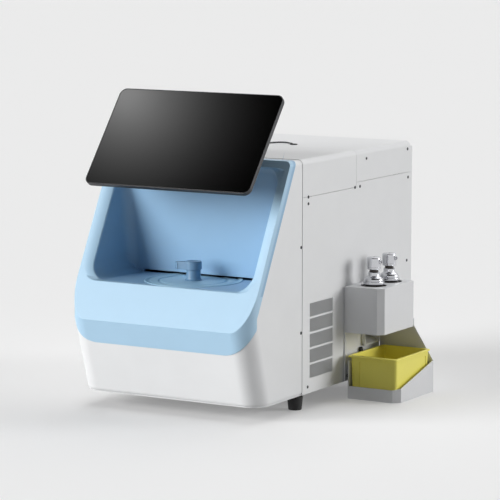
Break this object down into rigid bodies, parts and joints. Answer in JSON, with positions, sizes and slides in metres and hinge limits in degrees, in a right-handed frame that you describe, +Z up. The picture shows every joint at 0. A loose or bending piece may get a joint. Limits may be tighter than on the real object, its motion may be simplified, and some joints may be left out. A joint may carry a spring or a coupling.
{
  "type": "chemiluminescence immunoassay analyzer",
  "caption": "Bench analyzer with an open sloped working bay, a turning reagent carousel, a tilting touch display and a side station with bottle holder and lift-out waste bin.",
  "frame": {"origin": "on the bench, in the middle of the footprint", "axes": "+Z up, +Y from the open bay in front towards the rear panel, +X towards the bottle holder and the waste bin on the right side"},
  "size_m": [0.548, 0.6954, 0.6318],
  "materials": {
    "white_shell": "satin moulded plastic",
    "blue_shell": "satin moulded plastic",
    "bay_blue": "satin moulded plastic",
    "white_sheet": "fine powder coat",
    "zinc_sheet": "zinc plated",
    "foot_rubber": "matt",
    "display_grey": "satin",
    "display_black": "polished",
    "black_plastic": "matt",
    "dark_metal": "satin",
    "steel": "turned",
    "aluminium_part": "anodised",
    "carousel_blue": "satin",
    "motor_black": "satin",
    "station_grey": "fine powder coat",
    "bottle_brown": "gloss",
    "fitting_chrome": "polished",
    "bin_yellow": "moulded plastic",
    "chute_grey": "matt",
    "board_green": "satin"
  },
  "bodies": {
    "cabinet": {"front_shell": "white_shell", "fascia_bezel": "blue_shell", "bay_liner": "bay_blue", "right_side_panel": "white_sheet", "left_side_panel": "white_sheet", "top_cover_front": "white_sheet", "top_cover_rear": "white_sheet", "rear_panel": "white_sheet", "base_pan": "zinc_sheet", "frame_plate_left": "zinc_sheet", "frame_plate_right": "zinc_sheet", "deck_plate": "zinc_sheet", "foot_front_left": "foot_rubber", "foot_front_right": "foot_rubber", "foot_rear_left": "foot_rubber", "foot_rear_right": "foot_rubber", "display_bracket": "dark_metal", "tilt_pin": "steel", "display_lead": "black_plastic", "lead_grommet": "foot_rubber", "bearing_housing": "aluminium_part", "drive_motor": "motor_black", "drive_belt": "foot_rubber", "station_mount_plate": "station_grey", "bottle_holder": "station_grey", "station_tray": "station_grey", "station_back_plate": "station_grey", "waste_chute": "chute_grey", "bin_catch": "black_plastic", "incubator_block": "aluminium_part", "reader_module": "black_plastic", "pipette_column": "aluminium_part", "trigger_pump_1": "black_plastic", "trigger_pump_2": "black_plastic", "power_supply": "aluminium_part", "main_board": "board_green", "fan_frame": "black_plastic", "fan_guard": "steel", "mains_inlet": "black_plastic"},
    "display": {"display_housing": "display_grey", "display_glass": "display_black", "vesa_plate": "black_plastic"},
    "carousel": {"carousel_disc": "carousel_blue", "carousel_knob": "carousel_blue", "spindle": "steel", "spindle_pulley": "aluminium_part"},
    "motor_shaft": {"motor_pulley": "steel"},
    "fan_wheel": {"fan_rotor": "black_plastic"},
    "rocker": {"power_switch": "black_plastic"},
    "bin": {"waste_bin": "bin_yellow"},
    "bottle_1": {"reagent_bottle_1": "bottle_brown", "bottle_collar_1": "fitting_chrome"},
    "cap_1": {"bottle_cap_1": "fitting_chrome", "dip_tube_1": "black_plastic"},
    "bottle_2": {"reagent_bottle_2": "bottle_brown", "bottle_collar_2": "fitting_chrome"},
    "cap_2": {"bottle_cap_2": "fitting_chrome", "dip_tube_2": "black_plastic"},
    "lift_rod": {"pipette_rod": "steel"},
    "swing_arm": {"pipette_arm": "aluminium_part"}
  },
  "joints": [
    {"name": "display_tilt", "type": "hinge", "parent": "cabinet", "child": "display", "pos_m": [-0.064, -0.20604, 0.51411], "axis": [-1, 0, 0], "range_deg": [-25, 25]},
    {"name": "carousel_spin", "type": "hinge", "parent": "cabinet", "child": "carousel", "pos_m": [-0.064, -0.2052, 0.25], "axis": [0, 0, 1], "continuous": true},
    {"name": "motor_spin", "type": "hinge", "parent": "cabinet", "child": "motor_shaft", "pos_m": [0.024, -0.1797, 0.21], "axis": [0, 0, 1], "continuous": true},
    {"name": "fan_spin", "type": "hinge", "parent": "cabinet", "child": "fan_wheel", "pos_m": [-0.159, 0.327, 0.33], "axis": [0, 1, 0], "continuous": true},
    {"name": "power_switch_rock", "type": "hinge", "parent": "cabinet", "child": "rocker", "pos_m": [0.0424, 0.3416, 0.084], "axis": [-1, 0, 0], "range_deg": [0, 18]},
    {"name": "waste_bin_lift", "type": "slide", "parent": "cabinet", "child": "bin", "axis": [0, 0, 1], "range_m": [0, 0.044]},
    {"name": "bottle_1_lift", "type": "slide", "parent": "cabinet", "child": "bottle_1", "axis": [0, 0, 1], "range_m": [0, 0.13]},
    {"name": "cap_1_lift", "type": "slide", "parent": "bottle_1", "child": "cap_1", "axis": [0, 0, 1], "range_m": [0, 0.11]},
    {"name": "bottle_2_lift", "type": "slide", "parent": "cabinet", "child": "bottle_2", "axis": [0, 0, 1], "range_m": [0, 0.13]},
    {"name": "cap_2_lift", "type": "slide", "parent": "bottle_2", "child": "cap_2", "axis": [0, 0, 1], "range_m": [0, 0.11]},
    {"name": "pipette_lift", "type": "slide", "parent": "cabinet", "child": "lift_rod", "axis": [0, 0, 1], "range_m": [0, 0.04]},
    {"name": "pipette_swing", "type": "hinge", "parent": "lift_rod", "child": "swing_arm", "pos_m": [0.046, -0.0037, 0.4], "axis": [0, 0, 1], "range_deg": [0, 53]}
  ],
  "couplings": [
    {"joint": "motor_spin", "follows": "carousel_spin", "ratio": 2.3333}
  ]
}
